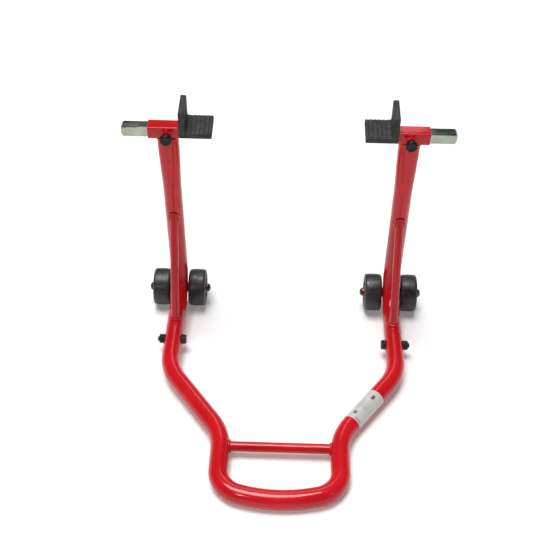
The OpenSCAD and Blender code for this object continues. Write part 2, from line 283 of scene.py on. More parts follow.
def hexagon(where, start, end, hole=0.0, turn=0.0, count=72):
    """Hexagonal nut or head along local x, with a chamfer turned on its far end"""
    radii = []
    for i in range(count):
        a = (2 * math.pi * i / count + turn) % (math.pi / 3) - math.pi / 6
        radii.append(HEX_AF / 2 / math.cos(a))

    def ring(xs, rs):
        return [where(x, r * c, r * s) for x, r, (c, s) in zip(xs, rs, circle(count))]

    def round_ring(x, r):
        return ring([x] * count, [r] * count)

    near = [start + 0.4 * (r - HEX_CHAMFER_R) for r in radii]
    far = [end - (r - HEX_CHAMFER_R) * math.tan(math.radians(30)) for r in radii]
    rings = [round_ring(start, HEX_CHAMFER_R), ring(near, radii), ring(far, radii),
             round_ring(end, HEX_CHAMFER_R)]
    if hole:
        bevel = 0.5 * MM
        rings += [round_ring(end, hole + bevel), round_ring(end - bevel, hole),
                  round_ring(start + bevel, hole), round_ring(start, hole + bevel)]
    return loft(rings, closed=bool(hole))


def screw(where, start, end, count=30, rows=6):
    """Round rod along local x with a helical thread of that many rows of points a turn, and
    chamfered ends"""
    depth = 0.55 * THREAD_PITCH
    steps = int((end - start) / THREAD_PITCH * rows)
    rings = []
    for i in range(steps + 1):
        x = start + (end - start) * i / steps
        ends = min(x - start, end - x) + THREAD_R - 1.1 * depth
        ring = []
        for j, (c, s) in enumerate(circle(count)):
            phase = (x / THREAD_PITCH - j / count) % 1
            groove = depth * min(1, max(0, 2.4 * abs(phase - 0.5) - 0.1))
            radius = min(THREAD_R - groove, ends)
            ring.append(where(x, radius * c, radius * s))
        rings.append(ring)
    return loft(rings)


def route(at, along, left, moves, arc_step=math.radians(3), step=8 * MM):
    """Places and directions along a line that bends in one plane. A move is (straight, bend radius,
    turn), and a positive turn goes left."""
    at, along, left = Vector(at), Vector(along), Vector(left)
    places, ways = [at.copy()], [along.copy()]
    for straight, radius, turn in moves:
        pieces = max(1, math.ceil(straight / step))
        for i in range(pieces):
            at = at + along * (straight / pieces)
            places.append(at)
            ways.append(along)
        if not turn:
            continue
        side = math.copysign(1, turn)
        centre = at + side * radius * left
        pieces = math.ceil(abs(turn) / arc_step)
        for i in range(pieces):
            a = turn * (i + 1) / pieces
            way = along * math.cos(a) + left * math.sin(a)
            out = left * math.cos(a) - along * math.sin(a)
            at = centre - side * radius * out
            places.append(at)
            ways.append(way)
        along, left = way, out
    return places, ways


def sweep(places, ways, normal, half_sizes, power=None, count=56):
    """Tube along a flat route. half_sizes gives each station's half width along the plane's normal
    and across it; power its roundness, 2 for an ellipse."""
    rings = []
    normal = Vector(normal)
    for i, (at, way) in enumerate(zip(places, ways)):
        across = way.cross(normal)
        u, v = half_sizes[i]
        p = 2 / power[i] if power else 1
        rings.append([
            at + normal * math.copysign(u * abs(c) ** p, c)
            + across * math.copysign(v * abs(s) ** p, s)
            for c, s in circle(count)
        ])
    return loft(rings)


def softened_ends(places, ways, r, edge=0.9 * MM):
    """Route and radii of a plain tube whose two ends have rounded rims"""
    angles = (math.radians(a) for a in (90, 67, 45, 22, 0))
    rim = [(edge - edge * math.sin(a), r - edge + edge * math.cos(a)) for a in angles]
    head = [(places[0] + ways[0] * t, ways[0], size) for t, size in rim]
    tail = [(places[-1] - ways[-1] * t, ways[-1], size) for t, size in reversed(rim)]
    body = [(p, w, r) for p, w in zip(places[1:-1], ways[1:-1])]
    stations = head + body + tail
    return [s[0] for s in stations], [s[1] for s in stations], [(s[2], s[2]) for s in stations]


# radii of the weld beads, and the ripples along them
WELD_R = 1.9 * MM
BRACE_WELD_R = 2.2 * MM
BOSS_WELD_R = 2.6 * MM
NUT_WELD_R = 1.0 * MM
RIPPLE_LEN = 2.3 * MM
RIPPLE_STEPS = 8


def bead(curve, normal, r, count=12):
    """Rippled weld bead along a closed curve that lies near the plane of that normal"""
    points = [Vector(p) for p in curve]
    marks = [0.0]
    for i, p in enumerate(points):
        marks.append(marks[-1] + (points[(i + 1) % len(points)] - p).length)
    stations = RIPPLE_STEPS * max(6, round(marks[-1] / RIPPLE_LEN))
    normal = Vector(normal).normalized()
    line = []
    k = 0
    for i in range(stations):
        goal = marks[-1] * i / stations
        while marks[k + 1] < goal:
            k += 1
        share = (goal - marks[k]) / (marks[k + 1] - marks[k])
        line.append(points[k].lerp(points[(k + 1) % len(points)], share))
    rings = []
    for i, p in enumerate(line):
        way = (line[(i + 1) % stations] - line[i - 1]).normalized()
        out = way.cross(normal).normalized()
        up = out.cross(way)
        ripple = 0.08 * math.sin(math.pi * (i / RIPPLE_STEPS % 1))
        unevenness = 0.03 * math.sin(i * 0.37)
        size = r * (0.92 + ripple + unevenness)
        rings.append([p + size * (c * out + s * up) for c, s in circle(count)])
    return loft(rings, closed=True)


def foot(where, r, target, bead_r, reach=1.0, count=96):
    """Closed curve where a round bar about the local x axis, going towards +x, meets a shape,
    eased out of the corner for the bead that follows it"""
    tree = BVHTree.FromPolygons(*target)
    way = (where(1, 0, 0) - where(0, 0, 0)).normalized()
    curve = []
    for c, s in circle(count):
        start = where(0, r * c, r * s)
        out = (start - where(0, 0, 0)).normalized()
        hit = tree.ray_cast(start, way, reach)[0]
        if hit is not None:
            curve.append(hit + 0.35 * bead_r * (out - way))
    return curve


# ---- materials ----

class Look:
    """A Principled material with short calls for its texture nodes, in object coordinates"""

    def __init__(self, name, colour, roughness, metallic=0.0, **constants):
        self.material = bpy.data.materials.new(name)
        self.material.use_nodes = True
        self.tree = self.material.node_tree
        self.shader = self.tree.nodes["Principled BSDF"]
        self.coordinates = self.node("ShaderNodeTexCoord").outputs["Object"]
        self.set("Base Color", (*colour, 1))
        self.set("Roughness", roughness)
        self.set("Metallic", metallic)
        for key, value in constants.items():
            self.set(key.replace("_", " "), value)

    def node(self, kind):
        return self.tree.nodes.new(kind)

    def set(self, socket, value):
        self.shader.inputs[socket].default_value = value

    def link(self, output, target):
        self.tree.links.new(output, target)

    def noise(self, scale, detail=2.0, stretch=(1, 1, 1), distortion=0.0):
        mapping = self.node("ShaderNodeMapping")
        mapping.inputs["Scale"].default_value = stretch
        self.link(self.coordinates, mapping.inputs["Vector"])
        texture = self.node("ShaderNodeTexNoise")
        texture.inputs["Scale"].default_value = scale
        texture.inputs["Detail"].default_value = detail
        texture.inputs["Distortion"].default_value = distortion
        self.link(mapping.outputs["Vector"], texture.inputs["Vector"])
        return texture.outputs["Fac"]

    def ramp(self, value, *stops):
        """Stops are (position, colour)"""
        ramp = self.node("ShaderNodeValToRGB")
        elements = ramp.color_ramp.elements
        while len(elements) < len(stops):
            elements.new(0.5)
        for element, (position, colour) in zip(elements, stops):
            element.position = position
            element.color = (*colour, 1)
        self.link(value, ramp.inputs["Fac"])
        return ramp.outputs["Color"]

    def grade(self, value, low, high, start=0.3, end=0.7):
        """A value carried from start..end to low..high"""
        spread = self.node("ShaderNodeMapRange")
        numbers = {"From Min": start, "From Max": end, "To Min": low, "To Max": high}
        for key, number in numbers.items():
            spread.inputs[key].default_value = number
        self.link(value, spread.inputs["Value"])
        return spread.outputs["Result"]

    def over(self, base, top, share):
        """One colour laid over another by a share from 0 to 1"""
        mix = self.node("ShaderNodeMix")
        mix.data_type = "RGBA"
        self.link(share, mix.inputs[0])
        self.link(base, mix.inputs[6])
        self.link(top, mix.inputs[7])
        return mix.outputs[2]

    def colour(self, output):
        self.link(output, self.shader.inputs["Base Color"])

    def rough(self, output):
        self.link(output, self.shader.inputs["Roughness"])

    def bumps(self, *layers):
        """Layers are (height, strength, distance)"""
        below = None
        for height, strength, distance in layers:
            bump = self.node("ShaderNodeBump")
            bump.inputs["Strength"].default_value = strength
            bump.inputs["Distance"].default_value = distance
            self.link(height, bump.inputs["Height"])
            if below:
                self.link(below, bump.inputs["Normal"])
            below = bump.outputs["Normal"]
        self.link(below, self.shader.inputs["Normal"])


def red_coat():
    look = Look("red_powder_coat", (0.60, 0.012, 0.018), 0.24, Coat_Weight=0.45,
                Coat_Roughness=0.07, Specular_IOR_Level=0.12)
    tone = look.ramp(look.noise(14, 3), (0.3, (0.47, 0.005, 0.009)), (0.7, (0.58, 0.010, 0.017)))
    dust = look.ramp(look.noise(60, 4), (0.3, (0.60, 0.04, 0.04)), (0.7, (0.55, 0.07, 0.07)))
    look.colour(look.over(tone, dust, look.grade(look.noise(520, 3), 0, 0.10, 0.68, 0.80)))
    look.rough(look.grade(look.noise(45, 5), 0.17, 0.27))
    look.bumps((look.noise(150, 1), 0.045, 0.4 * MM), (look.noise(800, 2), 0.07, 0.12 * MM))
    return look.material


def zinc_plate():
    look = Look("bright_zinc_plate", (0.36, 0.38, 0.33), 0.30, metallic=1.0)
    tint = look.ramp(look.noise(38, 4, distortion=0.6), (0.25, (0.26, 0.29, 0.23)),
                     (0.5, (0.34, 0.37, 0.31)), (0.75, (0.46, 0.47, 0.42)))
    look.colour(tint)
    drawn = look.noise(900, 3, stretch=(0.04, 1, 1))
    look.rough(look.grade(look.noise(120, 5, stretch=(0.2, 1, 1)), 0.18, 0.36))
    look.bumps((drawn, 0.18, 0.1 * MM), (look.noise(300, 3), 0.12, 0.1 * MM))
    return look.material


def black_steel():
    look = Look("black_oxide_steel", (0.025, 0.025, 0.028), 0.42, metallic=0.6)
    look.colour(look.ramp(look.noise(260, 4), (0.35, (0.015, 0.015, 0.017)),
                          (0.75, (0.06, 0.058, 0.058))))
    look.rough(look.grade(look.noise(400, 4), 0.32, 0.55))
    look.bumps((look.noise(1400, 3), 0.15, 0.08 * MM))
    return look.material


def copper_tint():
    look = Look("red_tinted_plate", (0.16, 0.05, 0.04), 0.28, metallic=1.0)
    look.colour(look.ramp(look.noise(180, 3), (0.3, (0.10, 0.028, 0.022)),
                          (0.7, (0.22, 0.085, 0.065))))
    look.rough(look.grade(look.noise(300, 4), 0.22, 0.42))
    look.bumps((look.noise(900, 3), 0.12, 0.08 * MM))
    return look.material


def wheel_rubber():
    look = Look("wheel_rubber", (0.022, 0.022, 0.023), 0.5, Specular_IOR_Level=0.5)
    worn = look.ramp(look.noise(90, 6, stretch=(0.5, 1, 1)), (0.35, (0.009, 0.009, 0.010)),
                     (0.8, (0.040, 0.038, 0.036)))
    look.colour(worn)
    look.rough(look.grade(look.noise(160, 5), 0.30, 0.52))
    look.bumps((look.noise(1300, 4), 0.15, 0.12 * MM), (look.noise(180, 4), 0.12, 0.25 * MM))
    return look.material


def wheel_core():
    look = Look("moulded_nylon", (0.03, 0.03, 0.032), 0.5)
    look.colour(look.ramp(look.noise(150, 4), (0.35, (0.018, 0.018, 0.02)),
                          (0.75, (0.045, 0.045, 0.047))))
    look.rough(look.grade(look.noise(500, 3), 0.42, 0.6))
    look.bumps((look.noise(2200, 2), 0.18, 0.06 * MM))
    return look.material


def knob_plastic():
    look = Look("knob_plastic", (0.018, 0.018, 0.02), 0.38, Specular_IOR_Level=0.25)
    look.colour(look.ramp(look.noise(220, 4), (0.35, (0.004, 0.004, 0.005)),
                          (0.8, (0.014, 0.014, 0.015))))
    look.rough(look.grade(look.noise(420, 4), 0.30, 0.50))
    look.bumps((look.noise(1800, 2), 0.15, 0.06 * MM))
    return look.material


def pad_rubber():
    look = Look("pad_rubber", (0.02, 0.02, 0.02), 0.72)
    look.colour(look.ramp(look.noise(110, 6), (0.3, (0.012, 0.012, 0.012)),
                          (0.8, (0.045, 0.044, 0.042))))
    look.rough(look.grade(look.noise(260, 4), 0.62, 0.85))
    look.bumps((look.noise(1500, 4), 0.35, 0.12 * MM))
    return look.material


def label_film(name, colour):
    look = Look(name, colour, 0.35, Coat_Weight=0.3, Coat_Roughness=0.1)
    paler = tuple(min(1, c * 1.12 + 0.01) for c in colour)
    look.colour(look.ramp(look.noise(120, 3), (0.3, colour), (0.7, paler)))
    look.rough(look.grade(look.noise(240, 3), 0.28, 0.42))
    look.bumps((look.noise(500, 2), 0.08, 0.06 * MM))
    return look.material


MATERIALS = {
    "red_coat": red_coat(),
    "zinc_plate": zinc_plate(),
    "black_steel": black_steel(),
    "copper_tint_plate": copper_tint(),
    "wheel_rubber": wheel_rubber(),
    "wheel_core": wheel_core(),
    "knob_plastic": knob_plastic(),
    "pad_rubber": pad_rubber(),
}


def finish_cad_nodes():
    """The CAD nodes that stay in view get the same materials"""
    slots = {part["node"]: part["material_slot"] for part in frame["record"]["subparts"]}
    for name, node in frame["nodes"].items():
        node.data.materials.clear()
        node.data.materials.append(MATERIALS[slots[name]])


def piece(name, shapes, slot, body="frame", stands_for=(), material=None, sharp=32):
    """One object made of closed shapes, riding on a body and standing for CAD nodes. Edges over
    sharp degrees stay sharp."""
    points, faces = [], []
    for shape_points, shape_faces in shapes:
        base = len(points)
        points += shape_points
        faces += [tuple(base + i for i in face) for face in shape_faces]
    mesh = bpy.data.meshes.new(name)
    mesh.from_pydata([tuple(p) for p in points], [], faces)
    skin = bmesh.new()
    skin.from_mesh(mesh)
    bmesh.ops.remove_doubles(skin, verts=skin.verts, dist=1e-7)
    bmesh.ops.recalc_face_normals(skin, faces=skin.faces)
    skin.to_mesh(mesh)
    skin.free()
    mesh.shade_smooth()
    mesh.set_sharp_from_angle(angle=math.radians(sharp))
    mesh.materials.append(material or MATERIALS[slot])
    thing = bpy.data.objects.new(name, mesh)
    bpy.context.scene.collection.objects.link(thing)
    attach(thing, body)
    if stands_for:
        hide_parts(*stands_for)
    return thing


# ---- handle ----

def handle_moves():
    """The handle's line from the right joint round the grip to the left one, as route() takes it"""
    link_w = LINK * math.sin(CORNER_TURN)
    rear_turn = math.pi / 2 - CORNER_TURN
    rear_r = (GRIP_HALF - CORNER_R * (1 - math.cos(CORNER_TURN)) - link_w) / math.sin(rear_turn)
    rear_depth = rear_r * (1 - math.cos(rear_turn))
    corner_depth = CORNER_R * math.sin(CORNER_TURN) + LINK * math.cos(CORNER_TURN) + rear_depth
    tangent = WIDE_R * math.tan(DIAGONAL / 2)
    reach = ARM_X - GRIP_HALF
    diagonal = reach / math.sin(DIAGONAL) - 2 * tangent
    side = GRIP_SIDE - tangent
    end = HANDLE_LEN - corner_depth - GRIP_SIDE - reach / math.tan(DIAGONAL) - tangent
    there = [(end, WIDE_R, -DIAGONAL), (diagonal, WIDE_R, DIAGONAL), (side, CORNER_R, -CORNER_TURN)]
    back = [(LINK, CORNER_R, -CORNER_TURN), (side, WIDE_R, DIAGONAL),
            (diagonal, WIDE_R, -DIAGONAL), (end, 0, 0)]
    return there + [(LINK, rear_r, -2 * rear_turn)] + back


def leg_axes():
    """Down the leg's slope, and the normal of its plane"""
    c, s = math.cos(SLOPE), math.sin(SLOPE)
    return Vector((0, -c, -s)), Vector((0, -s, c))


def handle():
    """Handle tube and its crossbar, with a weld at each end of the crossbar"""
    down, normal = leg_axes()
    start = at_joint(1)(0, 0, 0)
    places, ways = route(start, down, (1, 0, 0), handle_moves())
    places, ways, sizes = softened_ends(places, ways, TUBE_R)
    tube = sweep(places, ways, normal, sizes)
    piece("handle_tube_skin", [tube], "red_coat", stands_for=["handle_tube"])
    centre = at_joint(1)(-ARM_X, CROSSBAR_OFFSET - HANDLE_LEN, 0)
    line = place(centre, (1, 0, 0), -down, normal)
    bar = lathe(line, [(x * GRIP_HALF, CROSSBAR_R) for x in (-1, -0.5, 0, 0.5, 1)], count=40)
    piece("handle_crossbar_skin", [bar], "red_coat", stands_for=["handle_crossbar"])
    for name, side in SIDES.items():
        half = place(centre, (side, 0, 0), -down, normal)
        curve = foot(half, CROSSBAR_R, tube, WELD_R)
        piece(f"{name}_crossbar_weld", [bead(curve, (1, 0, 0), WELD_R)], "red_coat")


# ---- arms ----

# the pressed top of an upright: its length, the blend below it, its half sizes and its roundness,
# which is 2 for an ellipse
PRESS_LEN = 16 * MM
PRESS_BLEND = 90 * MM
PRESS_WIDE = 15.8 * MM
PRESS_DEEP = 11.2 * MM
PRESS_ROUNDNESS = 2.6


def arm_tube(side):
    """Upright with its top pressed oblong under the socket, bend and leg"""
    up = Vector((0, -math.sin(LEAN), math.cos(LEAN)))
    back = Vector((0, -math.cos(LEAN), -math.sin(LEAN)))
    foot_at = Vector((side * ARM_X, FOOT_Y, FOOT_Z))
    turn = math.pi / 2 + LEAN - SLOPE
    places, ways = route(foot_at + up * UPRIGHT_LEN, -up, back,
                         [(UPRIGHT_LEN, BEND_R, turn), (LEG_LEN, 0, 0)], step=3 * MM)
    places, ways, sizes = softened_ends(places, ways, TUBE_R)
    powers = []
    for i, at in enumerate(places):
        depth = (places[0] - at).length
        t = min(1, max(0, (PRESS_LEN + PRESS_BLEND - depth) / PRESS_BLEND))
        t = t * t * (3 - 2 * t) if (at - foot_at).dot(up) > 0 else 0
        r = sizes[i][0]
        sizes[i] = (r + t * (PRESS_WIDE - TUBE_R), r + t * (PRESS_DEEP - TUBE_R))
        powers.append(2 + (PRESS_ROUNDNESS - 2) * t)
    return sweep(places, ways, (1, 0, 0), sizes, powers)


def brace(name, side, tube):
    """Straight brace across the inside of the bend, with a weld at each end"""
    top = Vector((side * ARM_X, on_upright(BRACE_TOP_H), BRACE_TOP_H))
    heel_y = AXLE_Y - BRACE_REACH
    heel = Vector((side * ARM_X, heel_y, on_leg(heel_y)))
    way = (heel - top).normalized()
    length = (heel - top).length
    across = Vector((1, 0, 0))
    line = place(top, way, across, way.cross(across))
    bar = lathe(line, [(0, BRACE_R), (length / 2, BRACE_R), (length, BRACE_R)], count=40)
    piece(f"{name}_arm_brace_skin", [bar], "red_coat", stands_for=[f"{name}_arm_brace"])
    centre = line(length / 2, 0, 0)
    for end, direction in (("foot", way), ("top", -way)):
        half = place(centre, direction, across, direction.cross(across))
        curve = foot(half, BRACE_R, tube, BRACE_WELD_R, reach=length)
        piece(f"{name}_brace_{end}_weld", [bead(curve, direction, BRACE_WELD_R)], "red_coat")


def boss(name, side, tube):
    """Axle boss with a weld in the crevice on each side of its contact with the bend"""
    here = at_axle(side)
    edge = 0.6 * MM
    outer = [(BOSS_HALF, THREAD_R), (BOSS_HALF, BOSS_R - edge),
             (BOSS_HALF - edge / 3, BOSS_R - edge / 3), (BOSS_HALF - edge, BOSS_R)]
    profile = outer + [(0, BOSS_R)] + [(-x, r) for x, r in reversed(outer)]
    piece(f"{name}_axle_boss_skin", [lathe(here, profile, closed=True, count=48)], "red_coat",
          stands_for=[f"{name}_axle_boss"])
    towards = Vector((0, -math.cos(AXLE_ANGLE), math.sin(AXLE_ANGLE)))
    tangent = Vector((0, math.sin(AXLE_ANGLE), math.cos(AXLE_ANGLE)))
    contact = here(0, 0, 0) + towards * (BOSS_R - WELD_SINK / 2)
    half_x, half_y = 9.5 * MM, 5.4 * MM
    sag, rise = 2.2 * MM, 0.6 * MM
    curve = [contact + Vector((half_x * c, 0, 0)) + tangent * (half_y * s)
             + towards * (rise * s * s - sag * abs(c) ** 3) for c, s in circle(80)]
    piece(f"{name}_boss_weld", [bead(curve, towards, BOSS_WELD_R)], "red_coat")


def arms():
    """Both arms, with a weld around the top of each upright"""
    for name, side in SIDES.items():
        tube = arm_tube(side)
        piece(f"{name}_arm_tube_skin", [tube], "red_coat", stands_for=[f"{name}_arm_tube"])
        brace(name, side, tube)
        boss(name, side, tube)
        socket = at_socket(side)
        half_x, half_y, power = PRESS_WIDE + 0.4 * MM, PRESS_DEEP + 0.2 * MM, 0.77
        curve = [socket(half_x * math.copysign(abs(c) ** power, c),
                        half_y * math.copysign(abs(s) ** power, s), -SOCKET_HALF - 0.5 * MM)
                 for c, s in circle(120)]
        up = socket(0, 0, 1) - socket(0, 0, 0)
        piece(f"{name}_socket_weld", [bead(curve, up, WELD_R)], "red_coat")


# ---- joint between arm and handle ----

def washer(where, start, end, r, hole):
    edge = 0.25 * MM
    profile = [(start, hole), (start, r - edge), (start + edge, r),
               (end - edge, r), (end, r - edge), (end, hole)]
    return lathe(where, profile, closed=True)


def joints():
    """Bolt, nut and two washers at each joint; the head is inward"""
    bolts, washers, nuts = [], [], []
    seat = TUBE_R + WASHER_T
    for side in SIDES.values():
        out = shifted(at_joint(side), 0, -BOLT_BACK, 0)
        inward = shifted(out, 0, 0, 0, "Xyz")
        bolts.append(screw(out, TUBE_R - THREAD_HIDDEN, seat + NUT_H + BOLT_TIP))
        bolts.append(hexagon(inward, seat, seat + HEAD_H, turn=0.3))
        collar = [(seat - 0.01 * MM, HEAD_COLLAR_R), (seat + 0.3 * MM, HEAD_COLLAR_R)]
        bolts.append(lathe(inward, collar, count=40))
        for face in (out, inward):
            washers.append(washer(face, TUBE_R, seat, WASHER_R, WASHER_HOLE_R))
        nuts.append(hexagon(out, seat, seat + NUT_H, hole=THREAD_R, turn=0.1))
    piece("joint_bolts_skin", bolts, "black_steel", stands_for=["joint_bolts"])
    piece("joint_washers_skin", washers, "black_steel", stands_for=["joint_washers"])
    piece("joint_nuts_skin", nuts, "black_steel", stands_for=["joint_nuts"])


# ---- wheels ----

def tyre(where):
    """Crowned tread with a mould line, round shoulders and a shallow ring in each side face"""
    half, lead = WHEEL_W / 2, 0.4 * MM
    crown_r, shoulder, ridge, ridge_h = 90 * MM, 4 * MM, 0.5 * MM, 0.22 * MM
    ring_r, ring_w, ring_depth = 25.5 * MM, 0.8 * MM, 0.45 * MM

    def tread(x):
        return WHEEL_R - crown_r + math.sqrt(crown_r ** 2 - x * x)

    flank = half - shoulder
    corner = arc(flank, tread(flank) - shoulder, shoulder, 0, 90, 8)
    right = [(half - lead, CORE_R), (half, CORE_R + lead), (half, ring_r - ring_w),
             (half - ring_depth, ring_r - ring_w / 2), (half - ring_depth, ring_r + ring_w / 2),
             (half, ring_r + ring_w)] + corner
    right += [(x, tread(x)) for x in (flank * 0.75, flank * 0.5, flank * 0.25, ridge)]
    right.append((ridge / 3, tread(0) + ridge_h))
    profile = right + [(-x, r) for x, r in reversed(right)]
    return lathe(where, profile, closed=True, count=96)


def core(where):
    """Hub and rim joined by a web with six ribs on each face"""
    floor, edge = CORE_HALF - 5 * MM, 0.5 * MM
    rim_r = CORE_R - 4 * MM
    bore = THREAD_R + 0.05 * MM
    hub = [(CORE_HALF - edge, bore), (CORE_HALF, bore + edge), (CORE_HALF, HUB_R - edge),
           (CORE_HALF - edge, HUB_R), (floor + edge, HUB_R)]
    web = [(floor, HUB_R + edge), (floor, rim_r - edge), (floor + edge, rim_r)]
    rim = [(CORE_HALF - edge, rim_r), (CORE_HALF, rim_r + edge), (CORE_HALF, CORE_R - edge),
           (CORE_HALF - edge, CORE_R)]
    right = hub + web + rim
    profile = right + [(-x, r) for x, r in reversed(right)]
    shapes = [lathe(where, profile, closed=True, count=72)]
    rib_half, rib_in, rib_out = 1.2 * MM, HUB_R - MM, rim_r + MM
    rib_low, rib_top = floor - MM, CORE_HALF - 0.8 * MM
    outline = [(rib_in, -rib_half), (rib_out, -rib_half), (rib_out, rib_half), (rib_in, rib_half)]
    for face in (1, -1):
        for c, s in circle(6):
            def rib_point(t, u, v, face=face, c=c, s=s):
                return where(face * t, u * c - v * s, u * s + v * c)

            shapes.append(prism(rib_point, outline, rib_low, rib_top, 0.35 * MM))
    return shapes


def cap(where):
    """Push-on axle cap: a flange with a dome"""
    flange_r, flange_t, edge, hole_r = 8.0 * MM, 1.2 * MM, 0.3 * MM, 3 * MM
    dome_r, dome_h, dome_start = 7.1 * MM, 6.1 * MM, CAP_IN + 0.9 * flange_t
    flange_top = CAP_IN + flange_t
    profile = [(CAP_IN, hole_r), (CAP_IN, flange_r - edge), (CAP_IN + edge, flange_r),
               (flange_top - edge, flange_r), (flange_top, flange_r - 0.4 * MM)]
    for degrees in (0, 10, 20, 30, 40, 50, 60, 70, 78, 85):
        a = math.radians(degrees)
        profile.append((dome_start + dome_h * math.sin(a) ** 0.9, dome_r * math.cos(a) ** 0.8))
    return lathe(where, profile, count=48)


def wheels():
    """Two wheels and two caps on each arm's axle"""
    caps = []
    for name, side in SIDES.items():
        for end_name, end in (("outer", side), ("inner", -side)):
            wheel = f"{name}_{end_name}"
            caps.append(cap(facing((side * ARM_X, AXLE_Y, WHEEL_R), end)))
            hub = facing(middle(f"{wheel}_tyre"), end)
            piece(f"{wheel}_tyre_skin", [tyre(hub)], "wheel_rubber", f"{wheel}_wheel",
                  [f"{wheel}_tyre"])
            piece(f"{wheel}_core_skin", core(hub), "wheel_core", f"{wheel}_wheel",
                  [f"{wheel}_core"])
    piece("axle_caps_skin", caps, "copper_tint_plate", stands_for=["axle_caps"])


# ---- sockets, bars, supports and clamps ----

def socket_tube(where):
    """Square tube with rounded corners and its end rims broken"""
    edge = 0.3 * MM
    outer = rounded_square(SOCKET_HALF, 1.8 * MM)
    inner = rounded_square(SOCKET_HALF - SOCKET_WALL, 0.6 * MM)
    levels = [(SOCKET_IN + edge, outer, 0), (SOCKET_IN, outer, edge),
              (SOCKET_IN, inner, -edge), (SOCKET_IN + edge, inner, 0),
              (SOCKET_OUT - edge, inner, 0), (SOCKET_OUT, inner, -edge),
              (SOCKET_OUT, outer, edge), (SOCKET_OUT - edge, outer, 0)]
    rings = [[where(x, *p) for p in inset(line, depth)] for x, line, depth in levels]
    return loft(rings, closed=True)


def slide_bar(where):
    """Plated square bar, its outer end chamfered on all four sides"""
    line = rounded_square(BAR_HALF, 0.7 * MM)
    burr, chamfer_start = 0.2 * MM, BAR_END - BAR_CHAMFER
    levels = [(BAR_IN, burr), (BAR_IN + burr, 0), (chamfer_start - 0.4 * MM, 0),
              (chamfer_start, 0.15 * MM), (BAR_END - 0.4 * MM, BAR_CHAMFER - 0.6 * MM),
              (BAR_END - 0.1 * MM, BAR_CHAMFER - 0.1 * MM), (BAR_END, BAR_CHAMFER + 0.4 * MM)]
    rings = []
    for x, depth in levels:
        share = 1 - depth / BAR_HALF
        rings.append([where(x, u * share, v * share) for u, v in line])
    return loft(rings)


def across_bar(where, outline, lip, edge):
    """Outline in (x, z) carried across the angle's width, past it by lip at both sides"""

    def to_point(t, x, z):
        return where(x, t, z)

    return prism(to_point, outline, -BAR_HALF - lip, -BAR_HALF + ANGLE_W + lip, edge)


def support_pad(where):
    """Rubber boot over the angle, with grooves across the faces that carry the swingarm"""
    back = 0.4 * MM
    thick = ANGLE_T + PAD_T
    back_x, low_z = BAR_IN - back, -BAR_HALF + back
    top, end = -BAR_HALF + ANGLE_H + PAD_LIP, BAR_IN - ANGLE_L - PAD_LIP
    face_x, face_z = BAR_IN - thick, -BAR_HALF + thick
    groove, depth, pitch, sharp = 1.6 * MM, 1.0 * MM, 6.5 * MM, 0.25 * MM
    rim, lip, root = 1.2 * MM, 2.2 * MM, 3 * MM
    profile = [(0, 0), (groove / 4, depth), (3 * groove / 4, depth), (groove, 0)]
    corners = [(back_x, low_z, 0.8 * MM), (back_x, top, rim), (face_x, top, lip)]
    for i in range(4):
        z = top - 6 * MM - i * pitch
        corners += [(face_x + deep, z - along, sharp) for along, deep in profile]
    corners.append((face_x, face_z, root))
    for i in range(5):
        x = face_x - 7 * MM - i * pitch
        corners += [(x - along, face_z - deep, sharp) for along, deep in profile]
    corners += [(end, face_z, lip), (end, low_z, rim)]
    return across_bar(where, rounded_outline(corners, steps=3), PAD_LIP, 0.22 * MM)


def support_angle(where):
    """Steel L from the corner under the bar, opening inward and upward"""
    rim, root, heel = 0.8 * MM, 2.2 * MM, 3.5 * MM
    x, z = BAR_IN, -BAR_HALF
    corners = [(x, z, heel), (x, z + ANGLE_H, rim), (x - ANGLE_T, z + ANGLE_H, rim),
               (x - ANGLE_T, z + ANGLE_T, root), (x - ANGLE_L, z + ANGLE_T, rim),
               (x - ANGLE_L, z, rim)]
    return across_bar(where, rounded_outline(corners), 0, 0.5 * MM)


def knob(where):
    """Round knob on a collar, with a shallow dish and a small raised centre on its far side"""
    collar_r, disc, top, edge, lead = 6 * MM, 4 * MM, 11 * MM, 2.4 * MM, 0.5 * MM
    dish = top - 0.8 * MM
    profile = [(0, THREAD_R + 0.3 * MM), (0, collar_r - lead), (lead, collar_r),
               (disc - 0.3 * MM, collar_r), (disc, collar_r + lead)]
    profile += arc(disc + edge, KNOB_R - edge, edge, 180, 90)
    profile += arc(top - edge, KNOB_R - edge, edge, 90, 0)
    profile += [(top, 5.2 * MM), (top - 0.5 * MM, 4.6 * MM), (dish, 4.0 * MM), (dish, 2.2 * MM),
                (top - 0.4 * MM, 1.6 * MM), (top - 0.3 * MM, 0.5 * MM)]
    return lathe(where, profile, count=72)


def clamp(name, here):
    """Nut welded to the socket's rear face, with the stud and the knob"""
    rear = shifted(here, 0, 0, 0, "Yxz")
    nut = shifted(rear, SOCKET_HALF, 0, 0)
    hole = THREAD_R + 0.2 * MM
    piece(f"{name}_clamp_nut_skin", [hexagon(nut, 0, NUT_H, hole=hole, turn=math.pi / 6)],
          "red_coat", stands_for=[f"{name}_clamp_nut"])
    ring_x, ring_r = 0.1 * MM, 7.3 * MM
    ring = [nut(ring_x, ring_r * c, ring_r * s) for c, s in circle(60)]
    weld = bead(ring, nut(1, 0, 0) - nut(0, 0, 0), NUT_WELD_R)
    piece(f"{name}_nut_weld", [weld], "red_coat")
    knob_x = SOCKET_HALF + KNOB_GAP
    stud = screw(rear, BAR_HALF + STUD_GAP, knob_x + STUD_IN_KNOB)
    piece(f"{name}_clamp_stud_skin", [stud], "zinc_plate", f"{name}_stud", [f"{name}_clamp_stud"])
    piece(f"{name}_clamp_knob_skin", [knob(shifted(rear, knob_x, 0, 0))], "knob_plastic",
          f"{name}_knob", [f"{name}_clamp_knob"])


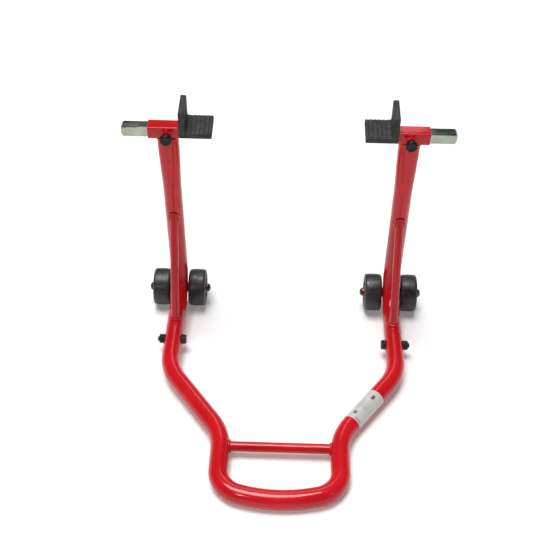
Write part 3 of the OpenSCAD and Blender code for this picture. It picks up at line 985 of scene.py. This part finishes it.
def clamps_and_slides():
    """Socket with its clamp on each upright, and the bar that slides in it with its support"""
    for name, side in SIDES.items():
        here = at_socket(side)
        piece(f"{name}_socket_skin", [socket_tube(here)], "red_coat",
              stands_for=[f"{name}_socket"])
        clamp(name, here)
        for part, shape, slot in (("slide_bar", slide_bar, "zinc_plate"),
                                  ("support_angle", support_angle, "zinc_plate"),
                                  ("support_pad", support_pad, "pad_rubber")):
            piece(f"{name}_{part}_skin", [shape(here)], slot, f"{name}_slide", [f"{name}_{part}"])


# ---- label around the right diagonal ----

LABEL_LEN = 65 * MM
LABEL_END = 2 * MM
LABEL_HALF_TURN = 95
FILM_T = 0.08 * MM
FILM_LIFT = 0.12 * MM
PRINT_LIFT = 0.17 * MM


def label():
    """Plain pale label, with grey blocks where the printing would be"""
    down, normal = leg_axes()
    moves = handle_moves()
    places, ways = route(at_joint(1)(0, 0, 0), down, (1, 0, 0), [moves[0], (moves[1][0], 0, 0)])
    end, way = places[-1] - ways[-1] * LABEL_END, ways[-1]
    across = normal.cross(way)

    def patch(start, stop, low, high, lift):
        """Film between two stations along the tube and two angles from the top, in degrees"""
        rings = []
        rows = max(2, round((stop - start) / (4 * MM)))
        columns = max(2, round((high - low) / 6))
        for i in range(rows + 1):
            at = end - way * (start + (stop - start) * i / rows)
            line = [(a, TUBE_R + lift) for a in range(columns + 1)]
            line += [(a, TUBE_R + lift - FILM_T) for a in reversed(range(columns + 1))]
            ring = []
            for k, r in line:
                a = math.radians(low + (high - low) * k / columns)
                ring.append(at + r * (math.cos(a) * normal + math.sin(a) * across))
            rings.append(ring)
        return loft(rings)

    film = label_film("label_film", (0.50, 0.49, 0.47))
    print_grey = label_film("label_print", (0.10, 0.10, 0.10))
    print_pale = label_film("label_print_pale", (0.33, 0.33, 0.31))
    sheet = patch(0, LABEL_LEN, -LABEL_HALF_TURN, LABEL_HALF_TURN, FILM_LIFT)
    piece("label", [sheet], "red_coat", material=film)
    lines = [patch(x * MM, (x + 0.9) * MM, -50, 35, PRINT_LIFT) for x in (24, 27, 30, 33, 36)]
    piece("label_lines", lines, "red_coat", material=print_pale)
    blocks = [patch(start * MM, stop * MM, low, high, PRINT_LIFT)
              for start, stop, low, high in ((9, 15, -20, 0), (48, 56, 2, 22), (3, 4.2, 10, 60))]
    piece("label_blocks", blocks, "red_coat", material=print_grey)


# ---- stage, lights and camera ----

FLOOR_SIZE = 60
FLOOR_GLOW = 0.16

# area lamps: name, place, target, size and power
LAMPS = (
    ("key", (-0.5, -1.0, 1.0), (0, -0.25, 0), 0.1, 2.2),
    ("fill", (1.3, -0.9, 0.9), (0, -0.1, 0.1), 0.2, 0.8),
    ("front", (0.1, 1.9, 1.9), (0, 0, 0.3), 0.8, 5),
)

# the large soft light from above, as a sun
OVERHEAD_POWER = 3.35
OVERHEAD_SPREAD = math.radians(34)
OVERHEAD_TILT = (math.radians(-5), math.radians(-7), 0)


def add(name, data):
    thing = bpy.data.objects.new(name, data)
    bpy.context.scene.collection.objects.link(thing)
    return thing


def studio_floor():
    """Pale floor with a faint glow of its own, so that it comes out nearly white"""
    bpy.ops.mesh.primitive_plane_add(size=FLOOR_SIZE, location=(0, 0, 0))
    floor = bpy.context.object
    floor.name = "studio_floor"
    look = Look("studio_floor", (0.82, 0.82, 0.82), 0.9, Emission_Strength=FLOOR_GLOW,
                Specular_IOR_Level=0.1)
    look.set("Emission Color", (1, 1, 1, 1))
    look.colour(look.ramp(look.noise(3, 2), (0.3, (0.81, 0.81, 0.81)), (0.7, (0.83, 0.83, 0.83))))
    floor.data.materials.append(look.material)


def studio_sky():
    """Pale surroundings, brightest at the horizon and darker overhead"""
    world = bpy.data.worlds.new("studio")
    world.use_nodes = True
    tree = world.node_tree
    sky = tree.nodes["Background"]
    sky.inputs["Color"].default_value = (0.96, 0.98, 1, 1)
    split = tree.nodes.new("ShaderNodeSeparateXYZ")
    tree.links.new(tree.nodes.new("ShaderNodeTexCoord").outputs["Generated"], split.inputs[0])
    fade = tree.nodes.new("ShaderNodeMapRange")
    for key, number in (("From Min", 0.04), ("From Max", 0.34), ("To Min", 0.50), ("To Max", 0.04)):
        fade.inputs[key].default_value = number
    tree.links.new(split.outputs["Z"], fade.inputs["Value"])
    tree.links.new(fade.outputs["Result"], sky.inputs["Strength"])
    bpy.context.scene.world = world


def studio():
    studio_floor()
    studio_sky()
    bpy.context.scene.view_settings.view_transform = "Standard"
    for name, spot, target, size, power in LAMPS:
        lamp = bpy.data.lights.new(name, "AREA")
        lamp.size = size
        lamp.energy = power
        thing = add(name, lamp)
        thing.location = spot
        thing.visible_camera = False
        aim = Vector(target) - Vector(spot)
        thing.rotation_euler = aim.to_track_quat("-Z", "Y").to_euler()
    overhead = bpy.data.lights.new("overhead", "SUN")
    overhead.energy = OVERHEAD_POWER
    overhead.angle = OVERHEAD_SPREAD
    add("overhead", overhead).rotation_euler = OVERHEAD_TILT


# the photo's viewpoint, with yaw, pitch and roll in that order
CAMERA_AT = (6 * MM, -1082 * MM, 1117 * MM)
CAMERA_YAW = math.radians(-1.04)
CAMERA_PITCH = math.radians(39.35)
CAMERA_ROLL = math.radians(0.9)
CAMERA_LENS = 65.4
CAMERA_SENSOR = 36


def camera():
    """Behind and above the stand, looking forward and down"""
    y, p, r = CAMERA_YAW, CAMERA_PITCH, CAMERA_ROLL
    ahead = Vector((math.sin(y) * math.cos(p), math.cos(y) * math.cos(p), -math.sin(p)))
    right = Vector((math.cos(y), -math.sin(y), 0))
    up = right.cross(ahead)
    right, up = right * math.cos(r) + up * math.sin(r), up * math.cos(r) - right * math.sin(r)
    turned = Matrix((right, up, -ahead)).transposed().to_4x4()
    lens = bpy.data.cameras.new("camera")
    lens.lens = CAMERA_LENS
    lens.sensor_width = CAMERA_SENSOR
    thing = add("camera", lens)
    thing.matrix_world = Matrix.Translation(CAMERA_AT) @ turned
    bpy.context.scene.camera = thing


finish_cad_nodes()
handle()
arms()
joints()
wheels()
clamps_and_slides()
label()
studio()
camera()

bpy.context.view_layer.update()
